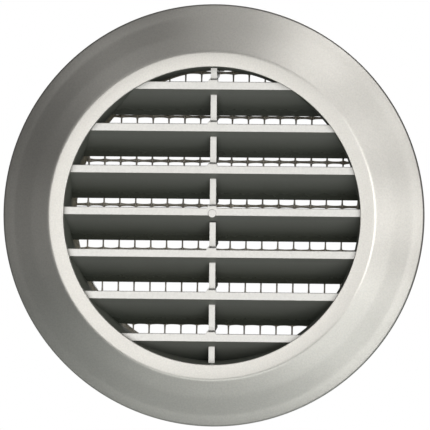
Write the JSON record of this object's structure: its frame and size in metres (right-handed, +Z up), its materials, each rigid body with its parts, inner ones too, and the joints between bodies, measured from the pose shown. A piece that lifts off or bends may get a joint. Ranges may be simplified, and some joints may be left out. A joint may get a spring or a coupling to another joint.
{
  "type": "round louvred air grille",
  "caption": "Round flanged air grille with fixed downward-raked louvre blades, a centre rib, a wire mesh behind them and a sprung collar that pushes into a round duct.",
  "frame": {"origin": "on the duct's axis, in the wall plane that the back of the flange rests on", "axes": "+Y along the duct's axis into the duct, so the louvred face looks towards -Y; +Z up, across the blades"},
  "size_m": [0.14, 0.0339, 0.14],
  "materials": {
    "face_silver": "satin metallic silver with a fine flake",
    "louvre_silver": "satin metallic silver",
    "collar_silver": "satin metallic silver, unpolished inside",
    "galvanised_wire": "dull galvanised",
    "spring_steel": "bright rolled",
    "rivet_aluminium": "pressed"
  },
  "bodies": {
    "housing": {"face_ring": "face_silver", "spigot_collar": "collar_silver", "centre_rib": "louvre_silver", "louvre_blade_1": "louvre_silver", "louvre_blade_2": "louvre_silver", "louvre_blade_3": "louvre_silver", "louvre_blade_4": "louvre_silver", "louvre_blade_5": "louvre_silver", "louvre_blade_6": "louvre_silver", "louvre_blade_7": "louvre_silver", "mesh_upright_wires": "galvanised_wire", "mesh_cross_wires": "galvanised_wire", "mesh_clamp_ring": "collar_silver", "clip_base_1": "spring_steel", "clip_base_2": "spring_steel", "clip_base_3": "spring_steel", "clip_rivets": "rivet_aluminium"},
    "clip_1": {"clip_leaf_1": "spring_steel"},
    "clip_2": {"clip_leaf_2": "spring_steel"},
    "clip_3": {"clip_leaf_3": "spring_steel"}
  },
  "joints": [
    {"name": "clip_1_flex", "type": "hinge", "parent": "housing", "child": "clip_1", "pos_m": [0, 0.0176, 0.0492], "axis": [1, 0, 0], "range_deg": [0, 11.5], "stiffness_Nm_per_rad": 1.2},
    {"name": "clip_2_flex", "type": "hinge", "parent": "housing", "child": "clip_2", "pos_m": [0.04261, 0.0176, -0.0246], "axis": [-0.5, 0, -0.866], "range_deg": [0, 11.5], "stiffness_Nm_per_rad": 1.2},
    {"name": "clip_3_flex", "type": "hinge", "parent": "housing", "child": "clip_3", "pos_m": [-0.04261, 0.0176, -0.0246], "axis": [-0.5, 0, 0.866], "range_deg": [0, 11.5], "stiffness_Nm_per_rad": 1.2}
  ]
}
